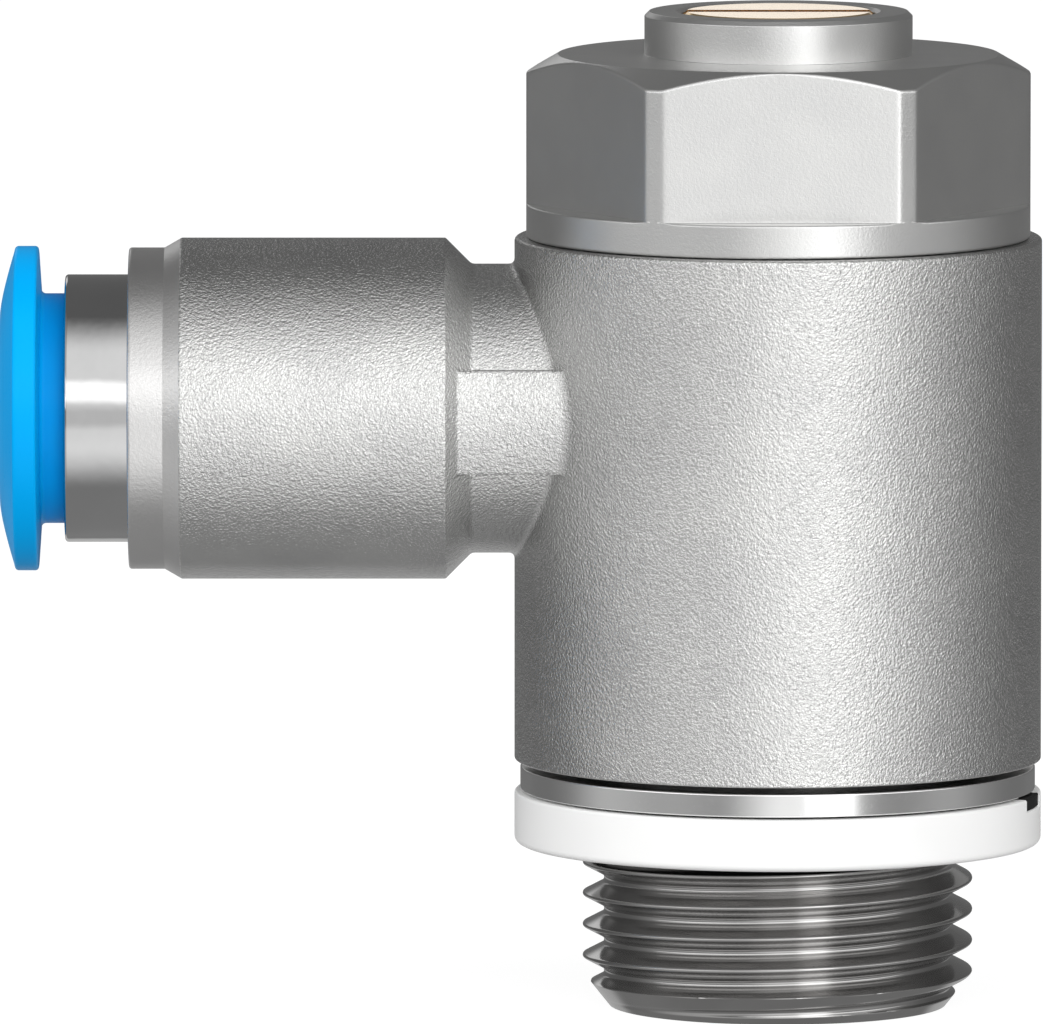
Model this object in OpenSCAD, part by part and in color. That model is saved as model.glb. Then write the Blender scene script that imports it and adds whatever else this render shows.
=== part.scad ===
// One-way flow control valve: a hollow bolt screws into a port and carries a swivelling
// body with a push-in tube fitting. Millimetres, Z up. The origin lies on the bolt's axis
// in the plane where the port seal meets the port's face. The tube leaves toward -X.

/* [Port thread] */
// Outside diameter of the pipe thread, nominal size 3/8
thread_major_d = 16.662; // [16.4:0.01:16.8]
// Diameter at the bottom of the thread grooves
thread_minor_d = 14.95; // [14.6:0.01:15.1]
// Distance from one thread crest to the next
thread_pitch = 1.337; // [1.2:0.001:1.5]
// Length of the threaded end below the port's face
thread_len = 7.0; // [6:0.1:12]
// Diameter of the bolt's flat end, inside its chamfer
thread_tip_d = 14.1; // [13.4:0.05:14.6]

/* [Port seal] */
// How far the white seal carrier's rim lies inside the body's
carrier_inset = 0.0; // [0:0.05:0.5]
// Height of the white seal carrier
carrier_h = 2.21; // [1.8:0.01:3]
// Width of the flat rim around the black seal
carrier_rim = 0.75; // [0.5:0.05:1.2]
// Width of the notch in the rim, in degrees
notch_angle = 12.6; // [6:0.2:20]
// Depth of the notch in the rim
notch_depth = 0.52; // [0.3:0.02:0.8]

/* [Retaining ring] */
// How far the bright ring's rim lies inside the body's
ring_inset = 0.25; // [0.1:0.01:1]
// Height of the bright ring
ring_h = 1.09; // [0.8:0.01:1.6]
// How much smaller the ring's seat on the bolt is than the body's bore, on the diameter
ring_seat_step = 0.4; // [0.3:0.05:0.5]

/* [Swivel body] */
// Outside diameter of the body
body_d = 22.5; // [22:0.1:24]
// Height of the body
body_h = 22.36; // [22:0.1:26]
// Thickness of the body's wall around the bore that turns on the bolt
body_wall = 2.65; // [2.55:0.01:2.7]
// Open gap under the body
body_gap = 0.29; // [0.1:0.01:0.5]
// Radius of the body's rounded edges
body_edge = 0.22; // [0.1:0.01:0.4]
// Height of the side arm's axis above the body's lower face
arm_axis_h = 15.01; // [14.5:0.05:15.2]

/* [Side arm] */
// Thickness of the barrel's wall around the steel sleeve
barrel_wall = 1.57; // [1.4:0.01:1.64]
// How far the step at the mouth lies inside the barrel
step_inset = 0.42; // [0.33:0.01:0.6]
// How far the neck next to the body lies inside the barrel
neck_inset = 1.11; // [0.9:0.01:1.2]
// Distance from the bolt's axis to the arm's mouth
arm_len = 27.69; // [27.4:0.05:28.2]
// Length of the step at the mouth, with its slope
mouth_len = 2.25; // [2:0.05:2.6]
// Length of the arm's barrel
barrel_len = 11.25; // [10.5:0.05:11.4]
// How far the raised pads stand over the neck
pad_rise = 0.58; // [0.25:0.01:0.7]
// Height of the raised pads
pad_w = 4.44; // [3:0.1:5]

/* [Hexagon head] */
// Width across the hexagon's flats
hex_af = 19; // [18.6:0.1:20]
// How far the head's turned corners lie inside the body's rim
head_inset = 0.5; // [0.25:0.05:0.75]
// Height of the round ring below the flats
head_ring_h = 1.51; // [1:0.01:2]
// Height from the flats' lower end to the head's top plane
hex_h = 6.29; // [5.5:0.01:8]
// Angle of the chamfer on the head's corners, in degrees
hex_chamfer = 30; // [20:1:35]
// How much smaller than the flats the head's round top is, on the diameter
hex_top_step = 0.2; // [0.1:0.05:1]
// Diameter of the collar around the screw
collar_d = 11.43; // [11:0.05:12.5]
// Height of the collar above the head
collar_h = 1.83; // [1.2:0.01:3]

/* [Regulating screw] */
// Diameter of the screw's slotted head
screw_head_d = 8.2; // [7.8:0.05:8.3]
// Outside diameter of the screw's thread
screw_thread_d = 8.3; // [8:0.05:8.32]
// Pitch of the screw's thread
screw_pitch = 0.75; // [0.6:0.05:1]
// Turns from closed to fully open
screw_turns = 4; // [3:0.5:4]
// Diameter of the screw's sealing land
screw_land_d = 9.66; // [9.5:0.02:9.7]
// Height of the screw's sealing land
screw_land_h = 2.45; // [2.3:0.05:2.6]
// Diameter of the screw's stem
stem_d = 5.8; // [5.5:0.05:6]
// Width of the screwdriver slot
slot_w = 1.05; // [0.8:0.05:1.4]
// Depth of the screwdriver slot
slot_depth = 1.3; // [0.8:0.05:2]

/* [Flow path] */
// Diameter of the screw's bore through the collar
screw_bore_d = 8.4; // [8.38:0.01:8.6]
// Diameter of the bore that the screw's seal slides in
seal_bore_d = 9.8; // [9.74:0.01:9.9]
// Diameter of the outlet bore through the threaded end
outlet_d = 10.2; // [10.1:0.01:10.6]
// Diameter of the hole in the throttle seat
orifice_d = 4.8; // [4.2:0.05:5]
// Height of the throttle seat
seat_h = 2.6; // [2:0.1:3]
// Height of the throttle seat's upper face above the port's face
seat_top = 12.9; // [12.7:0.05:13]
// Diameter of the upper cross holes
upper_hole_d = 3.6; // [3:0.1:3.8]
// Diameter of the lower cross holes
lower_hole_d = 3.4; // [3:0.1:3.6]
// Number of cross holes in each row
hole_count = 4; // [3:1:4]

/* [Seals] */
// Thickness of the two seals between the bolt and the body
body_seal_t = 1.2; // [1:0.05:1.3]
// Thickness of the seal on the screw
screw_seal_t = 1.12; // [1:0.01:1.15]
// Height of the one-way lip seal
lip_h = 2.3; // [1.8:0.05:2.4]
// Height of the ring that carries the lip seal
lip_ring_h = 0.6; // [0.4:0.05:0.8]

/* [Push-in fitting] */
// Outside diameter of the tube that the fitting takes
tube_d = 8; // [7.8:0.05:8.2]
// Distance from the tube's outside to the steel sleeve's outside
sleeve_room = 1.71; // [1.68:0.01:1.8]
// Wall thickness of the sleeve
sleeve_wall = 0.4; // [0.3:0.02:0.42]
// How far the sleeve stands out of the arm
sleeve_stand = 2.72; // [2.5:0.02:2.9]
// Thickness of the sleeve's inward lip
sleeve_lip = 0.45; // [0.35:0.05:0.6]
// Distance from the tube's outside to the release ring's rim
flange_room = 2.925; // [2.5:0.025:3.2]
// How far the release ring's face stands out of the sleeve
release_stand = 2.76; // [2.7:0.02:3]
// Thickness of the release ring's rim
rim_t = 0.97; // [0.8:0.01:1.3]
// Height of the domed face above the rim
dome_h = 0.64; // [0.4:0.01:0.9]
// Distance from the tube's outside to the release ring's neck
release_neck_room = 0.905; // [0.8:0.005:0.95]
// Clearance between the tube and the release ring
release_play = 0.15; // [0.12:0.01:0.25]
// Inward travel of the release ring
release_travel = 0.9; // [0.6:0.05:0.9]
// Height of the bead that keeps the release ring in the sleeve
bead_rise = 0.315; // [0.25:0.005:0.345]
// How far the collet's teeth reach into the tube's space
collet_bite = 0.1; // [0.05:0.01:0.12]
// Thickness of the collet's sheet steel
collet_t = 0.3; // [0.25:0.01:0.35]
// Number of teeth on the collet
collet_teeth = 10; // [8:1:12]
// How much smaller than the tube the air passage to the bolt is, on the diameter
passage_step = 1.8; // [1.6:0.1:2.2]
// How far the tube goes in, from the release ring's face to the stop
tube_depth = 17.57; // [17.2:0.05:17.8]

/* [Hidden] */
$fn = 96;

// Clearances: each is a gap on the radius or between two faces
run_gap = 0.05;      // a shaft that turns or slides in its bore
press_gap = 0.01;    // a pressed piece in its seat, drawn just free
seal_gap = 0.02;     // a seal against the wall that it wipes
head_gap = 0.03;     // the body below the hexagon head
stop_gap = 0.1;      // a moving piece before the stop that it meets
part_gap = 0.05;     // two loose pieces that lie face to face
cut = 1;             // how far a cutting shape runs past a face
collar_edge = 0.2;   // chamfer on the collar's rim
groove_play = 0.1;   // extra width of a seal's groove
mouth_edge = 0.3;    // chamfer at the outlet's mouth
bore_edge = 0.2;     // chamfers at the ends of the body's bore
ring_edge = 0.08;    // chamfers on the bright ring
carrier_low_edge = 0.25;
carrier_top_edge = 0.08;
arm_chamfer = 0.73;  // length of the slope between the barrel and the step
arm_edge = 0.12;
sleeve_edge = 0.13;
groove_w = 0.14;     // grooves along the neck's pads
groove_deep = 0.12;
split_w = 0.4;       // slot in the ring below the one-way cup
slit_w = 0.5;        // slots between the collet's teeth
colour_metal = [0.72, 0.72, 0.71];
colour_rubber = [0.08, 0.08, 0.08];

// Diameters that follow the body's
ring_d = body_d - 2 * ring_inset;
carrier_d = body_d - 2 * carrier_inset;
head_d = body_d - 2 * head_inset;
body_bore_d = body_d - 2 * body_wall;
ring_bore_d = body_bore_d - ring_seat_step;

// Diameters that follow the tube's
sleeve_d = tube_d + 2 * sleeve_room;
barrel_d = sleeve_d + 2 * barrel_wall;
step_d = barrel_d - 2 * step_inset;
neck_d = barrel_d - 2 * neck_inset;
pad_r = neck_d / 2 + pad_rise;
flange_d = tube_d + 2 * flange_room;
release_neck_d = tube_d + 2 * release_neck_room;
release_bore_d = tube_d + 2 * release_play;
bead_d = release_neck_d + 2 * bead_rise;
collet_tip_d = tube_d - 2 * collet_bite;
passage_d = tube_d - passage_step;

// The port thread's crest, whose height on the +X side sets where the turns lie
tip_r = thread_tip_d / 2;
thread_crest_z = -1.55;
thread_last_z = -0.35;
ridge_root = 0.4;    // how deep a ridge's foot lies in its core
ridge_skin = 0.03;   // how far a ridge stands over the end chamfer
thread_first_z = -thread_len + thread_pitch / 2;

// Radii of the bolt
core_r = thread_minor_d / 2;
land_r = body_bore_d / 2 - run_gap;
ring_land_r = ring_bore_d / 2 - press_gap;
waist_room = 2.0;       // each depth is measured inward from the body's bore
lower_waist_room = 1.7;
lip_room = 2.3;
lip_stop_room = 1.4;
lip_shoulder_room = 0.6;
waist_r = body_bore_d / 2 - waist_room;
lower_waist_r = body_bore_d / 2 - lower_waist_room;
lip_floor_r = body_bore_d / 2 - lip_room;
lip_stop_r = body_bore_d / 2 - lip_stop_room;
lip_shoulder_r = body_bore_d / 2 - lip_shoulder_room;

// Levels along the bolt's axis
ring_top = carrier_h + ring_h;
body_low = ring_top + body_gap;
body_top = body_low + body_h;
head_low = body_top + head_gap;
flats_low = head_low + head_ring_h;
head_top = flats_low + hex_h;
bolt_top = head_top + collar_h;
arm_z = body_low + arm_axis_h;
lip_shoulder_z = 11.0;
lip_shoulder_h = 0.9;
lip_ring_z = lip_shoulder_z + lip_shoulder_h;
lip_low = lip_ring_z + lip_ring_h + part_gap;
lip_stop_z = lip_low + lip_h + part_gap;
lip_stop_h = 0.6;
lip_stop_top = lip_stop_z + lip_stop_h;
upper_land_h = 3.38;
upper_land_low = head_low - upper_land_h;
lower_land_h = 3.0;
lower_land_top = body_low + lower_land_h;
upper_hole_z = 17.5;
lower_hole_z = 8.4;
seat_low = seat_top - seat_h;

// The screw, closed: its seat's cone and its land set every other level
screw_rise = screw_pitch * screw_turns;
seat_cone_h = stem_d / 2 - orifice_d / 2;
screw_cone_top = seat_top + stop_gap;
screw_land_low = upper_hole_z + upper_hole_d / 2 + stop_gap;
screw_land_top = screw_land_low + screw_land_h;
screw_stop_z = screw_land_top + screw_rise + run_gap;
screw_thread_lead = 0.3;
screw_head_h = 0.4;
screw_thread_low = screw_stop_z + screw_thread_lead;
screw_thread_top = bolt_top - screw_rise - screw_head_h;
screw_neck_r = 3.5;
screw_thread_depth = 0.61 * screw_pitch;
screw_core_r = screw_thread_d / 2 - screw_thread_depth;
needle_len = 3.0;
needle_tip_r = 1.4;
screw_edge = 0.18;
screw_seal_r = seal_bore_d / 2 - seal_gap - screw_seal_t / 2;
screw_groove_r = screw_seal_r - screw_seal_t / 2 - seal_gap;

// The side arm: distances from the bolt's axis toward the tube
barrel_out = arm_len - mouth_len;
barrel_in = barrel_out - barrel_len;
sleeve_out = arm_len + sleeve_stand;
flange_out = sleeve_out + release_stand;
tube_stop = flange_out - tube_depth;
sleeve_r = sleeve_d / 2;
sleeve_bore_r = sleeve_r - sleeve_wall;
socket_r = sleeve_r + press_gap;
tube_guide_len = 3.0;
seal_room_len = 2.6;
tube_play = 0.08;
socket_in = tube_stop + tube_guide_len;
seal_room_r = sleeve_bore_r;
sleeve_in = socket_in + seal_room_len;
tube_guide_r = tube_d / 2 + tube_play;
tube_seal_r = 0.66;
tube_seal_x = socket_in + tube_seal_r + part_gap;
washer_in = tube_seal_x + tube_seal_r + part_gap;
washer_t = 0.5;
collet_ring_in = washer_in + washer_t + part_gap;
collet_ring_t = 2.2;
collet_in = collet_ring_in + collet_ring_t + part_gap;
collet_flat_r = sleeve_bore_r - run_gap;
tooth_len = 0.75;
tooth_root_r = tube_d / 2 + tooth_len;
tooth_room = 0.15;   // radial room around the bending teeth
tooth_rise = 0.75;
lip_in = sleeve_out - sleeve_lip;
lip_hole_gap = 0.1;
lip_hole_r = release_neck_d / 2 + lip_hole_gap;
bead_out = lip_in - stop_gap;
bead_len = 0.5;
bead_slope = 0.2;
rim_out = flange_out - dome_h;
rim_in = rim_out - rim_t;
neck_fillet = 0.15;
rim_taper = 0.14;
rim_round = 0.12;
mouth_round = 0.12;
nose_wall = 0.3;
nose_r = release_bore_d / 2 + nose_wall;
nose_flare = 0.15;
nose_slope = 0.4;
nose_spare = 0.2;
nose_len = release_travel + nose_spare;
snap_slot_spare = 0.3;
snap_slot_w = 0.9;
tooth_slope = tooth_rise / (tooth_root_r - collet_tip_d / 2);
nose_in = collet_in + collet_t - tooth_slope * (tooth_root_r - nose_r) + stop_gap;

// Seals between the bolt and the body
upper_seal_z = (head_low + upper_land_low) / 2;
lower_seal_z = (ring_top + lower_land_top) / 2;
body_seal_r = body_bore_d / 2 - seal_gap - body_seal_t / 2;
body_groove_r = body_seal_r - body_seal_t / 2 - seal_gap;

// The notch in the white carrier, on the far side from the tube
notch_mid = -13.5;
carrier_bore_gap = 0.12;
carrier_bore_r = thread_major_d / 2 + carrier_bore_gap;
seal_lip_gap = 0.1;   // the seal's inner lip inside the carrier's bore
seal_core_gap = 0.15; // the seal around the bolt
seal_lip_z = 0.25;
carrier_wall_r = carrier_d / 2 - carrier_rim;
port_seal_floor = 0.9;
notch_w = carrier_d * sin(notch_angle / 2);

// Places everything that is drawn along the side arm: the arm's axis is drawn along Z
module on_arm() {
    translate([0, 0, arm_z])
        rotate([0, -90, 0])
            children();
}

// A body turned from an outline of [radius, height] points
module turned(outline) {
    rotate_extrude() polygon(outline);
}

// Points of a rounded corner from angle a0 to a1 about [cx, cy]
function arc(cx, cy, r, a0, a1, n = 4) =
    [for (i = [0:n]) let (a = a0 + (a1 - a0) * i / n) [cx + r * cos(a), cy + r * sin(a)]];

// A seal ring of round section, level across the axis
module o_ring(mid_r, thickness) {
    rotate_extrude() translate([mid_r, 0]) circle(d = thickness, $fn = 32);
}

// Radial holes through one side of a tube
module cross_holes(z, d, reach) {
    for (i = [0:hole_count - 1])
        translate([0, 0, z])
            rotate([0, 90, 180 / hole_count + 360 * i / hole_count])
                cylinder(d = d, h = reach);
}

// Right-hand screw ridge whose crest climbs from height z0 to z1 and passes height crest_z
// on the +X side. Flanks stand at about 27.5 degrees, crest and root are rounded, and the
// ridge fades in and out over a quarter turn. Nothing lies outside the end chamfer, whose
// radius is tip_r at height tip_z.
module screw_ridge(crest_r, root_r, pitch, z0, z1, crest_z, tip_r, tip_z, steps) {
    depth = crest_r - root_r;
    base_r = root_r - ridge_root;
    section = [
        [-0.46, -1], [-0.38, 0.12], [-0.13, 0.86], [-0.05, 1],
        [0.05, 1], [0.13, 0.86], [0.38, 0.12], [0.46, -1]
    ];
    n = len(section);
    turns = (z1 - z0) / pitch;
    start = 360 * (z0 - crest_z) / pitch;
    rings = ceil(turns * steps);
    points = [
        for (i = [0:rings])
            let (turn = turns * i / rings)
            let (fade = max(0.05, min(1, 4 * turn, 4 * (turns - turn))))
            let (a = start + 360 * turn)
            for (p = section)
                let (z = z0 + (turn + p[0]) * pitch)
                let (full_r = p[1] < 0 ? base_r : root_r + p[1] * depth * fade)
                let (r = min(full_r, tip_r + z - tip_z + ridge_skin))
                [r * cos(a), r * sin(a), z]
    ];
    quads = [
        for (i = [0:rings - 1])
            for (j = [0:n - 1])
                let (k = (j + 1) % n)
                [i * n + j, i * n + k, (i + 1) * n + k, (i + 1) * n + j]
    ];
    sides = [for (q = quads) each [[q[0], q[1], q[2]], [q[0], q[2], q[3]]]];
    first = [for (j = [n - 1:-1:0]) j];
    last = [for (j = [0:n - 1]) rings * n + j];
    polyhedron(points, concat(sides, [first], [last]), convexity = 10);
}

// The bolt's turned outside, from the threaded end up to the head
module bolt_shank() {
    groove_h = body_seal_t + groove_play;
    turned([
        [0, -thread_len],
        [tip_r, -thread_len],
        [core_r, core_r - tip_r - thread_len],
        [core_r, carrier_h],
        [ring_land_r, carrier_h],
        [ring_land_r, ring_top],
        [land_r, ring_top],
        [land_r, lower_seal_z - groove_h / 2],
        [body_groove_r, lower_seal_z - groove_h / 2],
        [body_groove_r, lower_seal_z + groove_h / 2],
        [land_r, lower_seal_z + groove_h / 2],
        [land_r, lower_land_top],
        [lower_waist_r, lower_land_top],
        [lower_waist_r, lip_shoulder_z],
        [lip_shoulder_r, lip_shoulder_z],
        [lip_shoulder_r, lip_ring_z],
        [lip_floor_r, lip_ring_z],
        [lip_floor_r, lip_stop_z],
        [lip_stop_r, lip_stop_z],
        [lip_stop_r, lip_stop_top],
        [waist_r, lip_stop_top],
        [waist_r, upper_land_low],
        [land_r, upper_land_low],
        [land_r, upper_seal_z - groove_h / 2],
        [body_groove_r, upper_seal_z - groove_h / 2],
        [body_groove_r, upper_seal_z + groove_h / 2],
        [land_r, upper_seal_z + groove_h / 2],
        [land_r, head_low],
        [0, head_low]
    ]);
}

// The hexagon head with its turned corners, the ring below it and the collar above it
module bolt_head() {
    head_r = head_d / 2;
    hex_top_r = (hex_af - hex_top_step) / 2;
    collar_r = collar_d / 2;
    corner_z = head_top - (head_r - hex_top_r) * tan(hex_chamfer);
    translate([0, 0, head_low])
        cylinder(r = head_r, h = head_ring_h);
    intersection() {
        translate([0, 0, head_low])
            cylinder(d = hex_af / cos(30), h = head_top - head_low, $fn = 6);
        turned([
            [0, head_low], [head_r, head_low], [head_r, corner_z],
            [hex_top_r, head_top], [0, head_top]
        ]);
    }
    turned([
        [0, head_low], [collar_r, head_low], [collar_r, bolt_top - collar_edge],
        [collar_r - collar_edge, bolt_top], [0, bolt_top]
    ]);
}

// Nickel-plated brass bolt that carries the valve and holds its flow path
module hollow_bolt() {
    color(colour_metal)
        difference() {
            union() {
                bolt_shank();
                bolt_head();
                screw_ridge(thread_major_d / 2, core_r, thread_pitch, thread_first_z,
                    thread_last_z, thread_crest_z, tip_r, -thread_len, 40);
            }
            turned([
                [0, -thread_len - cut],
                [outlet_d / 2 + mouth_edge + cut, -thread_len - cut],
                [outlet_d / 2, -thread_len + mouth_edge],
                [outlet_d / 2, seat_top],
                [seal_bore_d / 2, seat_top],
                [seal_bore_d / 2, screw_stop_z],
                [screw_bore_d / 2, screw_stop_z],
                [screw_bore_d / 2, bolt_top + cut],
                [0, bolt_top + cut]
            ]);
            cross_holes(upper_hole_z, upper_hole_d, waist_r + cut);
            cross_holes(lower_hole_z, lower_hole_d, lower_waist_r + cut);
        }
}

// Brass bush pressed into the bolt: the screw's cone closes its hole
module throttle_seat() {
    color("goldenrod")
        turned([
            [orifice_d / 2, seat_low],
            [outlet_d / 2 - press_gap, seat_low],
            [outlet_d / 2 - press_gap, seat_top],
            [stem_d / 2, seat_top],
            [orifice_d / 2, seat_top - seat_cone_h]
        ]);
}

// Slotted brass screw that sets the flow. It is drawn closed, flush with the collar.
module regulating_screw() {
    land_mid = (screw_land_low + screw_land_top) / 2;
    groove_h = screw_seal_t + groove_play;
    cone_low = screw_cone_top - seat_cone_h - run_gap;
    color("wheat")
        difference() {
            union() {
                turned([
                    [0, cone_low - needle_len],
                    [needle_tip_r, cone_low - needle_len],
                    [orifice_d / 2 - run_gap, cone_low],
                    [stem_d / 2, screw_cone_top],
                    [stem_d / 2, screw_land_low],
                    [screw_land_d / 2, screw_land_low],
                    [screw_land_d / 2, land_mid - groove_h / 2],
                    [screw_groove_r, land_mid - groove_h / 2],
                    [screw_groove_r, land_mid + groove_h / 2],
                    [screw_land_d / 2, land_mid + groove_h / 2],
                    [screw_land_d / 2, screw_land_top],
                    [screw_neck_r, screw_land_top],
                    [screw_neck_r, screw_thread_low],
                    [screw_core_r, screw_thread_low],
                    [screw_core_r, screw_thread_top],
                    [screw_head_d / 2, screw_thread_top],
                    [screw_head_d / 2, bolt_top - screw_edge],
                    [screw_head_d / 2 - screw_edge, bolt_top],
                    [0, bolt_top]
                ]);
                screw_ridge(screw_thread_d / 2, screw_core_r, screw_pitch,
                    screw_thread_low + screw_pitch / 2, screw_thread_top - screw_pitch / 2,
                    screw_thread_low, screw_thread_d, screw_thread_low - cut, 24);
            }
            translate([-screw_head_d, -slot_w / 2, bolt_top - slot_depth])
                cube([2 * screw_head_d, slot_w, slot_depth + cut]);
        }
}

// Rubber ring between the screw and the bolt
module screw_seal() {
    color(colour_rubber)
        translate([0, 0, (screw_land_low + screw_land_top) / 2])
            o_ring(screw_seal_r, screw_seal_t);
}

// Rubber ring that seals the body below the head
module upper_body_seal() {
    color(colour_rubber)
        translate([0, 0, upper_seal_z])
            o_ring(body_seal_r, body_seal_t);
}

// Rubber ring that seals the body above the port
module lower_body_seal() {
    color(colour_rubber)
        translate([0, 0, lower_seal_z])
            o_ring(body_seal_r, body_seal_t);
}

// One-way rubber cup: its lip wipes the body's bore, stops air that comes from the tube and
// folds inward for air that comes from the port
module check_lip_seal() {
    lip_r = body_bore_d / 2 - seal_gap;
    in_r = lip_floor_r + press_gap;
    lip_t = 0.12 * lip_h;
    groove_out_r = lip_stop_r + 1.25 * lip_t;
    color(colour_rubber)
        translate([0, 0, lip_low])
            turned([
                [in_r, 0], [lip_shoulder_r - lip_t, 0], [lip_shoulder_r, 0.35 * lip_h],
                [lip_r, 0.9 * lip_h], [lip_r - seal_gap, lip_h], [lip_r - lip_t, lip_h],
                [groove_out_r, 0.42 * lip_h], [lip_stop_r - lip_t / 2, 0.38 * lip_h],
                [lip_stop_r - lip_t, lip_h], [in_r, lip_h]
            ]);
}

// Split plastic ring that the one-way cup rests on
module lip_seal_ring() {
    color("ivory")
        translate([0, 0, lip_ring_z])
            difference() {
                cylinder(r = lip_shoulder_r - press_gap, h = lip_ring_h);
                translate([0, 0, -cut])
                    cylinder(r = lip_floor_r + press_gap, h = lip_ring_h + 2 * cut);
                translate([0, -split_w / 2, -cut])
                    cube([lip_shoulder_r + cut, split_w, lip_ring_h + 2 * cut]);
            }
}

// The arm's turned outside, from the bolt's axis to its mouth
module arm_outline() {
    neck_r = neck_d / 2;
    barrel_r = barrel_d / 2;
    step_r = step_d / 2;
    turned(concat(
        [[0, 0], [neck_r, 0], [neck_r, barrel_in - (barrel_r - neck_r)]],
        [[barrel_r, barrel_in], [barrel_r, barrel_out], [step_r, barrel_out + arm_chamfer]],
        arc(step_r - arm_edge, arm_len - arm_edge, arm_edge, 0, 90),
        [[0, arm_len]]
    ));
}

// Raised pads on the front and back of the neck
module neck_pads() {
    intersection() {
        cylinder(r = pad_r, h = barrel_in - (barrel_d / 2 - pad_r));
        translate([-pad_w / 2, -body_d, 0])
            cube([pad_w, 2 * body_d, barrel_in]);
    }
}

// Shallow grooves along the pads' upper and lower edges
module pad_grooves() {
    for (x = [-1, 1], y = [-1, 1])
        translate([x * (pad_w + groove_w) / 2, y * sqrt(pow(neck_d / 2, 2) - pow(pad_w / 2, 2)), 0])
            translate([-groove_w / 2, -groove_deep, 0])
                cube([groove_w, 2 * groove_deep, barrel_in - (barrel_d - neck_d) / 2]);
}

// Die-cast body: it turns on the bolt and takes the tube fitting in its side arm
module swivel_body() {
    body_r = body_d / 2;
    bore_r = body_bore_d / 2;
    color([0.66, 0.66, 0.65])
        difference() {
            union() {
                turned(concat(
                    [[0, body_low]],
                    arc(body_r - body_edge, body_low + body_edge, body_edge, -90, 0),
                    arc(body_r - body_edge, body_top - body_edge, body_edge, 0, 90),
                    [[0, body_top]]
                ));
                on_arm() arm_outline();
                on_arm() neck_pads();
            }
            on_arm() pad_grooves();
            turned([
                [0, body_low - cut],
                [bore_r + bore_edge + cut, body_low - cut],
                [bore_r, body_low + bore_edge],
                [bore_r, body_top - bore_edge],
                [bore_r + bore_edge + cut, body_top + cut],
                [0, body_top + cut]
            ]);
            on_arm() {
                turned([
                    [0, 0],
                    [passage_d / 2, 0],
                    [passage_d / 2, tube_stop],
                    [tube_guide_r, tube_stop],
                    [tube_guide_r, socket_in],
                    [seal_room_r, socket_in],
                    [seal_room_r, sleeve_in],
                    [socket_r, sleeve_in],
                    [socket_r, arm_len + cut],
                    [0, arm_len + cut]
                ]);
            }
        }
}

// Bright steel ring pressed on the bolt below the body
module retaining_ring() {
    ring_r = ring_d / 2;
    color("silver")
        turned([
            [ring_bore_d / 2, carrier_h],
            [ring_r - ring_edge, carrier_h],
            [ring_r, carrier_h + ring_edge],
            [ring_r, ring_top - ring_edge],
            [ring_r - ring_edge, ring_top],
            [ring_bore_d / 2, ring_top]
        ]);
}

// A block across the carrier's rim: the notch, or the rubber that fills it
module rim_block(inner_r, outer_r, width, low) {
    rotate([0, 0, notch_mid])
        translate([inner_r, -width / 2, low])
            cube([outer_r - inner_r, width, carrier_h + cut - low]);
}

// White plastic carrier of the port seal
module port_seal_carrier() {
    carrier_r = carrier_d / 2;
    color("white")
        difference() {
            turned(concat(
                [[carrier_bore_r, 0]],
                arc(carrier_r - carrier_low_edge, carrier_low_edge, carrier_low_edge, -90, 0),
                [
                    [carrier_r, carrier_h - carrier_top_edge],
                    [carrier_r - carrier_top_edge, carrier_h],
                    [carrier_wall_r, carrier_h],
                    [carrier_wall_r, port_seal_floor],
                    [carrier_bore_r, port_seal_floor]
                ]
            ));
            rim_block(carrier_wall_r - cut / 2, carrier_r + cut, notch_w,
                carrier_h - notch_depth);
        }
}

// Black rubber seal in the carrier, with a tab in the notch of its rim
module port_seal() {
    lip_r = carrier_bore_r - seal_lip_gap;
    in_r = core_r + seal_core_gap;
    color(colour_rubber)
        union() {
            turned([
                [in_r, seal_lip_z],
                [lip_r, seal_lip_z],
                [lip_r, port_seal_floor + press_gap],
                [carrier_wall_r - press_gap, port_seal_floor + press_gap],
                [carrier_wall_r - press_gap, carrier_h - press_gap],
                [in_r, carrier_h - press_gap]
            ]);
            intersection() {
                rim_block(carrier_wall_r - cut, carrier_d / 2 + cut, notch_w - 2 * press_gap,
                    carrier_h - notch_depth + press_gap);
                cylinder(r = carrier_d / 2 - seal_lip_gap, h = carrier_h - press_gap);
            }
        }
}

// Bright steel sleeve pressed into the arm: it holds the fitting's pieces together
module cartridge_sleeve() {
    color("gainsboro")
        on_arm()
            turned(concat(
                [[sleeve_bore_r, sleeve_in], [sleeve_r, sleeve_in]],
                arc(sleeve_r - sleeve_edge, sleeve_out - sleeve_edge, sleeve_edge, 0, 90),
                [[lip_hole_r, sleeve_out], [lip_hole_r, lip_in], [sleeve_bore_r, lip_in]]
            ));
}

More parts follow.
